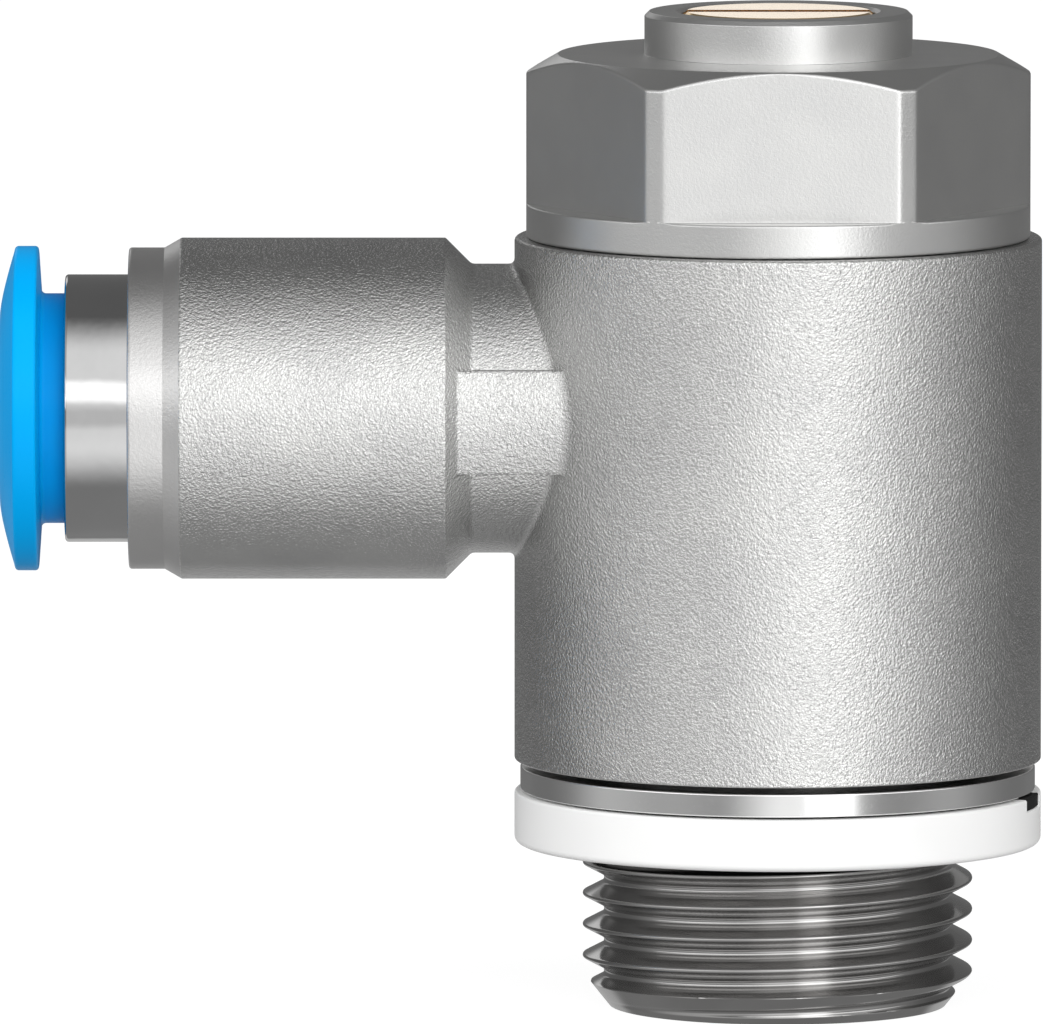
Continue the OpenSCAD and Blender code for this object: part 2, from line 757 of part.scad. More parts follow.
// Blue ring that is pressed to let the tube go
module release_ring() {
    bore_r = release_bore_d / 2;
    neck_r = release_neck_d / 2;
    flange_r = flange_d / 2;
    color("dodgerblue")
        on_arm()
            difference() {
                turned(concat(
                    [[bore_r, nose_in], [nose_r, nose_in], [nose_r + nose_flare, nose_in + nose_len]],
                    [[neck_r, nose_in + nose_len + nose_slope]],
                    [[neck_r, bead_out - bead_len - bead_slope]],
                    [[bead_d / 2, bead_out - bead_len], [bead_d / 2, bead_out]],
                    [[neck_r, bead_out], [neck_r, rim_in - rim_taper - neck_fillet]],
                    arc(neck_r + neck_fillet, rim_in - rim_taper - neck_fillet, neck_fillet, 180, 90),
                    [[flange_r - rim_round, rim_in - rim_round / 2]],
                    [[flange_r, rim_in + rim_round / 2], [flange_r, rim_out - rim_round / 2]],
                    [for (i = [0:5]) let (u = 1 - i / 6) dome_point(u)],
                    [[bore_r + mouth_round, flange_out], [bore_r, flange_out - mouth_round]]
                ));
                for (a = [45, 135])
                    rotate([0, 0, a])
                        translate([-body_d / 2, -snap_slot_w / 2, nose_in - cut])
                            cube([body_d, snap_slot_w, bead_out - nose_in + cut + snap_slot_spare]);
            }
}

// A point of the release ring's domed face: u is 1 at the rim and falls to 0 at the mouth
function dome_point(u) =
    let (mouth_r = release_bore_d / 2 + mouth_round)
    [mouth_r + (flange_d / 2 - rim_round / 2 - mouth_r) * u, flange_out - dome_h * pow(u, 1.25)];

// Sheet steel ring whose teeth grip the tube
module grip_collet() {
    tip_r = collet_tip_d / 2;
    color("darkgray")
        on_arm()
            difference() {
                turned([
                    [tip_r, collet_in - tooth_rise],
                    [tooth_root_r, collet_in],
                    [collet_flat_r, collet_in],
                    [collet_flat_r, collet_in + collet_t],
                    [tooth_root_r, collet_in + collet_t],
                    [tip_r, collet_in + collet_t - tooth_rise]
                ]);
                for (i = [0:collet_teeth - 1])
                    rotate([0, 0, 360 * i / collet_teeth])
                        translate([0, -slit_w / 2, collet_in - tooth_rise - cut])
                            cube([tooth_root_r, slit_w, 2 * cut + 2 * tooth_rise]);
            }
}

// Plastic ring that carries the collet and leaves its teeth room to bend
module collet_ring() {
    ring_far = collet_ring_in + collet_ring_t;
    color("ivory")
        on_arm()
            turned([
                [tube_guide_r, collet_ring_in],
                [collet_flat_r, collet_ring_in],
                [collet_flat_r, ring_far],
                [tooth_root_r + tooth_room, ring_far],
                [tube_guide_r + lip_hole_gap, ring_far - 2 * tooth_rise],
                [tube_guide_r, ring_far - 2 * tooth_rise]
            ]);
}

// Flat plastic washer between the tube seal and the collet ring
module seal_washer() {
    color("ivory")
        on_arm()
            translate([0, 0, washer_in])
                difference() {
                    cylinder(r = collet_flat_r, h = washer_t);
                    translate([0, 0, -cut])
                        cylinder(r = tube_guide_r, h = washer_t + 2 * cut);
                }
}

// Rubber ring that seals the tube
module tube_seal() {
    color(colour_rubber)
        on_arm()
            translate([0, 0, tube_seal_x])
                o_ring(seal_room_r - part_gap - tube_seal_r, 2 * tube_seal_r);
}

hollow_bolt();
throttle_seat();
regulating_screw();
screw_seal();
upper_body_seal();
lower_body_seal();
check_lip_seal();
lip_seal_ring();
swivel_body();
retaining_ring();
port_seal_carrier();
port_seal();
cartridge_sleeve();
release_ring();
grip_collet();
collet_ring();
seal_washer();
tube_seal();
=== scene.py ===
import math
import bmesh
import bpy
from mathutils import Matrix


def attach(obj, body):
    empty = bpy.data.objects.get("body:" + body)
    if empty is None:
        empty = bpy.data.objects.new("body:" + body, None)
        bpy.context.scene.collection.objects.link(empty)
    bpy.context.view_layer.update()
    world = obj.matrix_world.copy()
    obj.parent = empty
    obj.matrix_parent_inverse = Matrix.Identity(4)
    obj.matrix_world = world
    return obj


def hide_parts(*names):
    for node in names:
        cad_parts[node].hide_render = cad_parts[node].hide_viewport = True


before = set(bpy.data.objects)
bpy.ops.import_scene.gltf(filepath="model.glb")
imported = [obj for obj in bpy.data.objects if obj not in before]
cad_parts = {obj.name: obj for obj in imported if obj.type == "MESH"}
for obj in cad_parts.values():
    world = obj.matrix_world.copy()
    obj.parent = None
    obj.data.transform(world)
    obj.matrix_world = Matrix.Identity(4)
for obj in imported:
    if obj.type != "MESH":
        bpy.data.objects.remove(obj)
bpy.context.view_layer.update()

# The swivel body is die-cast from zinc in one piece: a round housing that turns on the hollow
# bolt, and a side arm that takes the tube fitting. It is nickel-plated over its cast skin, which
# keeps the die's fine orange peel. The two pads on the neck are left from the die's slides.
MM = 0.001
# the housing: radii and heights in millimetres, and the height of its rounded rims
BODY_R = 11.25
BORE_R = 8.6
BODY_LOW = 3.59
BODY_TOP = 25.95
RIM_OUTSIDE = 0.35
RIM_INSIDE = 0.2
# the arm: the height of its axis, radii, and distances from the bolt's axis
ARM_Z = 18.60
NECK_R = 6.17
NECK_END = 13.08
FILLET = 0.28
BARREL_R = 7.28
BARREL_START = 14.19
BARREL_END = 25.44
LIP_START = 26.17
ARM_END = 27.69
LIP_R = 6.86
SOCKET_R = 5.73
SOCKET_FLOOR = 21.2
SEAL_SEAT_R = 5.31
SEAL_SEAT_FLOOR = 18.6
TUBE_R = 4.08
TUBE_STOP = 15.6
PASSAGE_R = 3.1
# the neck's radius by the angle from its top: a fine groove runs beside the raised pad
PAD_R = 6.75
GROOVE_R = 6.08
NECK_STEPS = ((0, NECK_R), (69.0, NECK_R), (69.3, GROOVE_R), (69.9, GROOVE_R), (70.7, 6.66),
              (71.0, 6.735), (71.4, PAD_R), (90.1, PAD_R))
PAD_EDGE = [68.0, 69.0, 69.3, 69.9, 70.3, 70.7, 71.0, 71.4]
# the housing's wall is meshed as a patch around the arm, which reaches this far to each side in
# radians, and a plain wall over the angles that are left
PORT_ANGLE = 0.8
FAR_ANGLES = [PORT_ANGLE + 2 * (math.pi - PORT_ANGLE) * i / 128 for i in range(129)]
# the arm is turned, after casting, from this distance outward
TURNED_FROM = 25.5
# points closer together than this are one
DOUBLES = 0.0004 * MM


def rounded(corners, closed=True, steps=5):
    """Points of an outline whose corners, each (radius, height, rounding), are rounded off."""
    points = []
    for i, (r, h, radius) in enumerate(corners):
        is_end = not closed and i in (0, len(corners) - 1)
        if radius == 0 or is_end:
            points.append((r, h))
            continue
        before = corners[i - 1]
        after = corners[(i + 1) % len(corners)]
        u = (before[0] - r, before[1] - h)
        v = (after[0] - r, after[1] - h)
        u = (u[0] / math.hypot(*u), u[1] / math.hypot(*u))
        v = (v[0] / math.hypot(*v), v[1] / math.hypot(*v))
        half = math.acos(max(-1, min(1, u[0] * v[0] + u[1] * v[1]))) / 2
        reach = radius / math.tan(half)
        middle = (u[0] + v[0], u[1] + v[1])
        away = radius / math.sin(half) / math.hypot(*middle)
        centre = (r + middle[0] * away, h + middle[1] * away)
        start = math.atan2(h + u[1] * reach - centre[1], r + u[0] * reach - centre[0])
        end = math.atan2(h + v[1] * reach - centre[1], r + v[0] * reach - centre[0])
        turn = (end - start + math.pi) % (2 * math.pi) - math.pi
        # a point just outside the arc on either side keeps the flats beside it flat
        hold = reach + min(0.04, 0.4 * radius)
        points.append((r + u[0] * hold, h + u[1] * hold))
        for k in range(steps + 1):
            a = start + turn * k / steps
            points.append((centre[0] + radius * math.cos(a), centre[1] + radius * math.sin(a)))
        points.append((r + v[0] * hold, h + v[1] * hold))
    return points


def bend(start, corner, end, steps):
    """Points of a smooth bend from start to end, which sets out and arrives by the corner."""
    points = []
    for i in range(steps + 1):
        t = i / steps
        shares = ((1 - t) ** 2, 2 * t * (1 - t), t * t)
        points.append(tuple(sum(share * point[axis] for share, point in
                                zip(shares, (start, corner, end))) for axis in (0, 1)))
    return points


def add_skin(shell, rows, joined=True):
    """Adds a skin of quads over rows of points to a shell, which is a pair of lists."""
    points, faces = shell
    first = len(points)
    width = len(rows[0])
    for row in rows:
        points.extend(row)
    for i in range(len(rows) - 1):
        for j in range(width if joined else width - 1):
            k = (j + 1) % width
            a = first + i * width
            faces.append((a + j, a + k, a + width + k, a + width + j))


def finished_mesh(piece, sharp=32):
    """Joins a piece's doubles, turns its faces outward and keeps only its real edges sharp."""
    shape = bmesh.new()
    shape.from_mesh(piece.data)
    bmesh.ops.remove_doubles(shape, verts=shape.verts, dist=DOUBLES)
    bmesh.ops.dissolve_degenerate(shape, edges=shape.edges, dist=DOUBLES)
    bmesh.ops.recalc_face_normals(shape, faces=shape.faces)
    for face in shape.faces:
        face.smooth = True
    shape.to_mesh(piece.data)
    shape.free()
    piece.data.set_sharp_from_angle(angle=math.radians(sharp))
    return piece


def piece_from(name, shell, sharp=32):
    """A closed piece from a shell of points in millimetres."""
    mesh = bpy.data.meshes.new(name)
    mesh.from_pydata([[c * MM for c in p] for p in shell[0]], [], shell[1])
    piece = bpy.data.objects.new(name, mesh)
    bpy.context.scene.collection.objects.link(piece)
    return finished_mesh(piece, sharp)


def dress(piece, material, body, slot, *nodes):
    """Gives a piece its finish, hangs it on a CAD body and lets it stand for CAD nodes."""
    piece.data.materials.clear()
    piece.data.materials.append(material)
    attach(piece, body)
    if nodes:
        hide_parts(*nodes)


def grain_group():
    """Shader group shared by the metal and plastic finishes: a grain, blotches and specks."""
    group = bpy.data.node_groups.new("surface_grain", "ShaderNodeTree")
    for name, value in (("Grains per metre", 4000.0), ("Second grains per metre", 9000.0),
                        ("Second share", 0.3), ("Blotches per metre", 250.0)):
        socket = group.interface.new_socket(name, in_out="INPUT", socket_type="NodeSocketFloat")
        socket.default_value = value
    for name in ("Height", "Blotch", "Speck"):
        group.interface.new_socket(name, in_out="OUTPUT", socket_type="NodeSocketFloat")
    nodes, links = group.nodes, group.links
    given = nodes.new("NodeGroupInput")
    result = nodes.new("NodeGroupOutput")
    place = nodes.new("ShaderNodeTexCoord")
    noises = []
    for source, detail in (("Grains per metre", 1.0), ("Second grains per metre", 1.0),
                           ("Blotches per metre", 3.0)):
        noise = nodes.new("ShaderNodeTexNoise")
        noise.inputs["Detail"].default_value = detail
        noise.inputs["Roughness"].default_value = 0.5
        noise.inputs["Distortion"].default_value = 0.0
        links.new(place.outputs["Object"], noise.inputs["Vector"])
        links.new(given.outputs[source], noise.inputs["Scale"])
        noises.append(noise.outputs["Fac"])
    coarse, fine, patches = noises
    height = nodes.new("ShaderNodeMix")
    links.new(given.outputs["Second share"], height.inputs["Factor"])
    links.new(coarse, height.inputs["A"])
    links.new(fine, height.inputs["B"])
    links.new(height.outputs["Result"], result.inputs["Height"])
    # blotches fade softly into each other; specks are only the peaks of the second grain
    for noise, low, high, name in ((patches, 0.32, 0.68, "Blotch"), (fine, 0.60, 0.72, "Speck")):
        mask = nodes.new("ShaderNodeMapRange")
        mask.inputs["From Min"].default_value = low
        mask.inputs["From Max"].default_value = high
        links.new(noise, mask.inputs["Value"])
        links.new(mask.outputs["Result"], result.inputs[name])
    return group


surface_grain = grain_group()


def finish(name, dark, light, metallic, roughness, spread, grain, depth, shine=0.5):
    """A material whose colour runs from dark to light in blotches and whose roughness rises by
    spread in specks. Its grain, the group's four inputs in order, is depth millimetres high."""
    material = bpy.data.materials.new(name)
    material.use_nodes = True
    nodes, links = material.node_tree.nodes, material.node_tree.links
    shader = nodes["Principled BSDF"]
    shader.inputs["Metallic"].default_value = metallic
    shader.inputs["Specular IOR Level"].default_value = shine
    skin = nodes.new("ShaderNodeGroup")
    skin.node_tree = surface_grain
    for socket, value in zip(skin.inputs, grain):
        socket.default_value = value
    tint = nodes.new("ShaderNodeMix")
    tint.data_type = "RGBA"
    tint.inputs["A"].default_value = (*dark, 1)
    tint.inputs["B"].default_value = (*light, 1)
    links.new(skin.outputs["Blotch"], tint.inputs["Factor"])
    links.new(tint.outputs["Result"], shader.inputs["Base Color"])
    gloss = nodes.new("ShaderNodeMapRange")
    gloss.inputs["To Min"].default_value = roughness
    gloss.inputs["To Max"].default_value = roughness + spread
    links.new(skin.outputs["Speck"], gloss.inputs["Value"])
    links.new(gloss.outputs["Result"], shader.inputs["Roughness"])
    bump = nodes.new("ShaderNodeBump")
    bump.inputs["Strength"].default_value = 1.0
    bump.inputs["Distance"].default_value = depth * MM
    links.new(skin.outputs["Height"], bump.inputs["Height"])
    links.new(bump.outputs["Normal"], shader.inputs["Normal"])
    return material


def around(r, c, z):
    """A point of the housing: c is the angle about the bolt, counted from the arm."""
    return (-r * math.cos(c), r * math.sin(c), z)


def along_arm(r, a, h):
    """A point of the arm: h is the distance from the bolt's axis, a the angle from the top."""
    return (-h, r * math.sin(a), ARM_Z + r * math.cos(a))


def neck_radius(a):
    """The neck's radius at an angle from its top, the same on all four quarters."""
    a = math.degrees(a) % 180
    a = min(a, 180 - a)
    for (a0, r0), (a1, r1) in zip(NECK_STEPS, NECK_STEPS[1:]):
        if a0 <= a <= a1:
            return r0 + (r1 - r0) * (a - a0) / (a1 - a0)


def housing_border():
    """The edge of the wall's patch around the arm, as (angle, height above the arm's axis)."""
    top = BODY_TOP - RIM_OUTSIDE - ARM_Z
    low = BODY_LOW + RIM_OUTSIDE - ARM_Z
    reach = BODY_R * PORT_ANGLE
    columns = [PORT_ANGLE * (i / 32 - 1) for i in range(65)]
    start = math.degrees(math.atan2(reach, top))
    end = math.degrees(math.atan2(reach, low))
    # the sides' points are spread by angle, and closer where the pad's edges are
    above, across, below = 66.4, 72, 113.6
    sides = [start + (above - start) * i / 16 for i in range(1, 17)] + PAD_EDGE
    sides += [across + (180 - 2 * across) * i / 30 for i in range(31)]
    sides += [180 - a for a in reversed(PAD_EDGE)]
    sides += [below + (end - below) * i / 28 for i in range(28)]
    heights = [reach / math.tan(math.radians(a)) for a in sides]
    border = [(c, top) for c in columns] + [(PORT_ANGLE, h) for h in heights]
    border += [(c, low) for c in reversed(columns)]
    border += [(-PORT_ANGLE, h) for h in reversed(heights)]
    return border, columns


def wall(shell, radius, ring, border, low, high):
    """A round wall with a hole for the arm: ring is the hole's edge, in step with the border."""
    top = border[0][1]
    bottom = min(h for c, h in border)
    scaled = [(c, low + (h - bottom) / (top - bottom) * (high - low)) for c, h in border]
    # the patch's lines lie closer together near the arm
    shares = (0, 0.05, 0.12, 0.22, 0.34, 0.48, 0.64, 0.82, 1)
    rows = []
    for share in shares:
        row = []
        for (y, up), (c, z) in zip(ring, scaled):
            edge = math.asin(y / radius)
            row.append(around(radius, edge + (c - edge) * share,
                              ARM_Z + up + (z - ARM_Z - up) * share))
        rows.append(row)
    add_skin(shell, rows)
    heights = sorted(set(z for c, z in scaled))
    add_skin(shell, [[around(radius, c, z) for c in FAR_ANGLES] for z in heights], joined=False)


def swivel_body_shell():
    """The housing and its arm, as one closed skin in and out."""
    shell = ([], [])
    border, columns = housing_border()
    angles = [math.atan2(BODY_R * c, h) for c, h in border]
    radii = [neck_radius(a) for a in angles]
    hole = [((r + FILLET) * math.sin(a), (r + FILLET) * math.cos(a))
            for r, a in zip(radii, angles)]
    wall(shell, BODY_R, hole, border, BODY_LOW + RIM_OUTSIDE, BODY_TOP - RIM_OUTSIDE)
    # the barrel, the lip at its end, and back in through the socket, the seal's seat, the tube's
    # stop and the air passage
    barrel = rounded([(NECK_R, NECK_END, 0), (BARREL_R, BARREL_START, 0.12),
                      (BARREL_R, BARREL_END, 0.1), (LIP_R, LIP_START, 0.06),
                      (LIP_R, ARM_END, 0.12), (SOCKET_R, ARM_END, 0.04),
                      (SOCKET_R, SOCKET_FLOOR, 0), (SEAL_SEAT_R, SOCKET_FLOOR, 0),
                      (SEAL_SEAT_R, SEAL_SEAT_FLOOR, 0), (TUBE_R, SEAL_SEAT_FLOOR, 0),
                      (TUBE_R, TUBE_STOP, 0), (PASSAGE_R, TUBE_STOP, 0)], closed=False)[1:]
    # each line starts in the fillet on the housing, and a small bend leads it from the neck into
    # the barrel's cone
    lines = []
    for r, a in zip(radii, angles):
        foot = math.sqrt(BODY_R ** 2 - (r * math.sin(a)) ** 2)
        edge = math.sqrt(BODY_R ** 2 - ((r + FILLET) * math.sin(a)) ** 2)
        end = NECK_END + r - NECK_R
        line = bend((r + FILLET, edge), (r, foot), (r, foot + FILLET), 6)
        line += bend((r, end - 0.14), (r, end), (r + 0.1, end + 0.1), 4)
        line += barrel
        line.append((PASSAGE_R, math.sqrt(BORE_R ** 2 - (PASSAGE_R * math.sin(a)) ** 2)))
        lines.append([along_arm(radius, a, h) for radius, h in line])
    add_skin(shell, [list(row) for row in zip(*lines)])
    hole = [(PASSAGE_R * math.sin(a), PASSAGE_R * math.cos(a)) for a in angles]
    wall(shell, BORE_R, hole, border, BODY_LOW + RIM_INSIDE, BODY_TOP - RIM_INSIDE)
    for end, way, rounding in ((BODY_TOP, 1, 0.16), (BODY_LOW, -1, 0.07)):
        rim = rounded([(BODY_R, end - RIM_OUTSIDE * way, 0), (BODY_R, end, rounding),
                       (BORE_R + RIM_INSIDE, end, 0.05), (BORE_R, end - RIM_INSIDE * way, 0)],
                      closed=False)
        add_skin(shell, [[around(r, c, z) for c in columns + FAR_ANGLES[1:-1]] for r, z in rim])
    return shell


cast_nickel = finish("cast_nickel", (0.60, 0.60, 0.595), (0.66, 0.66, 0.65), metallic=1.0,
                     roughness=0.10, spread=0.08, grain=(8400, 19000, 0.35, 260), depth=0.072)
swivel_body = piece_from("swivel_body_casting", swivel_body_shell(), 40)
dress(swivel_body, cast_nickel, "swivel", "cast_body", "swivel_body")
# the arm's end and the underside are turned after casting, so they are smooth
turned_nickel = finish("turned_nickel", (0.67, 0.665, 0.66), (0.71, 0.705, 0.70), metallic=1.0,
                       roughness=0.38, spread=0.08, grain=(6200, 14000, 0.4, 260), depth=0.014)
swivel_body.data.materials.append(turned_nickel)
for face in swivel_body.data.polygons:
    if face.center.x < -TURNED_FROM * MM or face.center.z < (BODY_LOW + 0.02) * MM:
        face.material_index = 1

# The hollow bolt is turned from hexagon brass bar, drilled through, and satin nickel-plated. Its
# head has flats for a spanner over a round ring, and a collar around the regulating screw.
HEAD_R = 10.75
FLAT = 9.5
HEAD_LOW = 25.98
FLATS_LOW = 27.40
HEAD_TOP = 33.78
BEVEL_R = 9.4
BEVEL = math.radians(30)
COLLAR_R = 5.715
BOLT_TOP = 35.61
SCREW_BORE_R = 4.2
# the head's mesh is closed inside, around the shank's upper end
HEAD_CORE_R = 8.0
HEAD_CORE_TOP = 30.0


def upright(r, a, z):
    """A point at an angle about the bolt's axis."""
    return (r * math.cos(a), r * math.sin(a), z)


def turned_piece(name, profile, place=upright, count=256, angles=None, closed=True, sharp=32):
    """A piece turned about an axis: profile is an outline, or gives one for each angle."""
    angles = angles or [2 * math.pi * i / count for i in range(count)]
    outline = profile if callable(profile) else (lambda a: profile)
    lines = [[place(r, a, h) for r, h in outline(a)] for a in angles]
    rows = [list(row) for row in zip(*lines)]
    if closed:
        rows.append(rows[0])
    shell = ([], [])
    add_skin(shell, rows)
    return piece_from(name, shell, sharp)


def head_outline(a):
    """The head's outline at one angle: the flats are cut back from the turned corners."""
    off = (a + math.pi / 2 + math.pi / 6) % (math.pi / 3) - math.pi / 6
    flat = FLAT / math.cos(off)
    # a flat runs softly out into the round corner and never quite reaches the ring's radius
    soft = 0.03
    r = HEAD_R - soft * math.log1p(math.exp(min(60, (HEAD_R - flat) / soft)))
    r = min(r, HEAD_R - 0.0005)
    ledge = HEAD_R - r
    foot = min(0.05, 0.3 * ledge)
    lip = min(0.09, 0.3 * ledge)
    shoulder = HEAD_TOP - (r - BEVEL_R) * math.tan(BEVEL)
    ease = min(1, (r - BEVEL_R) / 0.2)
    line = rounded([(HEAD_CORE_R, HEAD_LOW, 0), (HEAD_R, HEAD_LOW, 0.1),
                    (HEAD_R, FLATS_LOW - 0.3, 0)], closed=False)
    line.append((HEAD_R, FLATS_LOW - lip - 0.012))
    for i in range(4):
        t = math.pi / 2 * i / 3
        line.append((HEAD_R - lip + lip * math.cos(t), FLATS_LOW - lip + lip * math.sin(t)))
    for i in range(8):
        t = math.pi / 2 * i / 7
        line.append((r + foot - foot * math.sin(t), FLATS_LOW + foot - foot * math.cos(t)))
    line += rounded([(r, FLATS_LOW + foot + 0.05, 0), (r, shoulder, 0.18 * ease),
                     (BEVEL_R, HEAD_TOP, 0.04 * ease), (COLLAR_R, HEAD_TOP, 0.03),
                     (COLLAR_R, BOLT_TOP - 0.2, 0.05), (COLLAR_R - 0.2, BOLT_TOP, 0.05),
                     (SCREW_BORE_R + 0.15, BOLT_TOP, 0.04),
                     (SCREW_BORE_R, BOLT_TOP - 0.15, 0.04), (SCREW_BORE_R, HEAD_CORE_TOP, 0),
                     (HEAD_CORE_R, HEAD_CORE_TOP, 0)], closed=False)
    return line


satin_nickel = finish("satin_nickel", (0.69, 0.69, 0.685), (0.73, 0.73, 0.72), metallic=1.0,
                      roughness=0.34, spread=0.10, grain=(9000, 20000, 0.4, 330), depth=0.010)
# the head's lines are half a degree apart, and closer at its six corners
offs = [0.5 * k for k in range(-53, 54)] + [30]
offs += [side * (26.6 + 0.1 * k) for k in range(34) for side in (-1, 1)]
head_angles = sorted(math.radians(60 * i - 30 + off) for i in range(6) for off in offs)
bolt_head = turned_piece("bolt_head", head_outline, angles=head_angles, sharp=50)
dress(bolt_head, satin_nickel, "bolt", "nickel_bolt", "hollow_bolt")


def cut_away(piece, cutters):
    """Cuts shapes out of a piece and leaves a plain mesh."""
    for cutter in cutters:
        cut = piece.modifiers.new("cut", "BOOLEAN")
        cut.operation = "DIFFERENCE"
        cut.solver = "EXACT"
        cut.object = cutter
    whole = piece.evaluated_get(bpy.context.evaluated_depsgraph_get())
    mesh = bpy.data.meshes.new_from_object(whole)
    piece.modifiers.clear()
    piece.data = mesh
    for cutter in cutters:
        bpy.data.objects.remove(cutter)
    return finished_mesh(piece)


def cross_drills(height, width, reach, start=4.0):
    """Four drills across the bolt's wall at one height, a quarter turn apart."""
    outline = [(0, start), (width / 2, start), (width / 2, reach), (0, reach)]
    drills = []
    for i in range(4):
        way = math.radians(45 + 90 * i)

        def along_drill(r, a, h, way=way):
            return (h * math.cos(way) - r * math.sin(a) * math.sin(way),
                    h * math.sin(way) + r * math.sin(a) * math.cos(way),
                    height + r * math.cos(a))
        drills.append(turned_piece("drill", outline, along_drill, 32, closed=False))
    return drills


# the shank's outside from its foot up, with its two lands and their seal grooves, and then its
# bore down again
LAND_R = 8.55
GROOVE_FLOOR_R = 7.34
BOLT_BORE_R = 5.1
SHANK_LOW = 0.3
shank_line = [
    (BOLT_BORE_R, SHANK_LOW), (7.475, SHANK_LOW), (7.475, 2.21), (8.39, 2.21), (8.39, 3.3),
    (LAND_R, 3.3), (LAND_R, 4.295), (GROOVE_FLOOR_R, 4.295), (GROOVE_FLOOR_R, 5.595),
    (LAND_R, 5.595), (LAND_R, 6.59), (6.9, 6.59), (6.9, 11.0), (8.0, 11.0), (8.0, 11.9),
    (6.3, 11.9), (6.3, 14.9), (7.2, 14.9), (7.2, 15.5), (6.6, 15.5), (6.6, 22.6),
    (LAND_R, 22.6), (LAND_R, 23.64), (GROOVE_FLOOR_R, 23.64), (GROOVE_FLOOR_R, 24.94),
    (LAND_R, 24.94), (LAND_R, HEAD_LOW), (8.1, HEAD_LOW), (8.1, 30.1), (SCREW_BORE_R, 30.1),
    (SCREW_BORE_R, 24.9), (4.9, 24.9), (4.9, 12.9), (BOLT_BORE_R, 12.9)]
bolt_shank = turned_piece("bolt_shank", shank_line, count=128)
bolt_shank = cut_away(bolt_shank, cross_drills(height=17.5, width=3.6, reach=7.6)
                      + cross_drills(height=8.4, width=3.4, reach=7.9))
# the shank inside the body is dull and coloured near black as painted shade, so the gaps round it
# look dark
shade_dark_nickel = finish("shade_dark_nickel", (0.10, 0.10, 0.098), (0.14, 0.14, 0.137), metallic=1.0,
                        roughness=0.45, spread=0.12, grain=(5200, 12000, 0.4, 330), depth=0.004)
dress(bolt_shank, shade_dark_nickel, "bolt", "nickel_bolt", "hollow_bolt")

# The port thread is of one piece with the bolt: a parallel pipe thread, cut with rounded crests
# and roots, chamfered at its tip and nickel-plated with the bolt.
FLANK_ANGLE = math.radians(27.5)
# the thread's mesh: faces around the bolt, rows of them in one turn, and rows in all
THREAD_COLUMNS = 216
ROWS_A_TURN = 48
THREAD_ROWS = 314
# radii, heights and roundings in millimetres, and turns of the thread counted from Crest height
THREAD = {"Crest radius": 8.331, "Pitch": 1.337, "Crest height": -1.55, "Crest rounding": 0.10,
          "Root rounding": 0.22, "Tip height": -7.0, "Top height": SHANK_LOW, "Tip radius": 7.2,
          "Tip slope": 0.80, "Tip easing": 0.09, "First turn": -5.125,
          "Turns": THREAD_ROWS / ROWS_A_TURN, "Crowding": -0.045}


def math_node(tree, kind, *terms):
    """A math node's result, from numbers and other nodes' results."""
    node = tree.nodes.new("ShaderNodeMath")
    node.operation = kind
    for socket, term in zip(node.inputs, terms):
        if isinstance(term, (int, float)):
            socket.default_value = term
        else:
            tree.links.new(term, socket)
    return node.outputs["Value"]


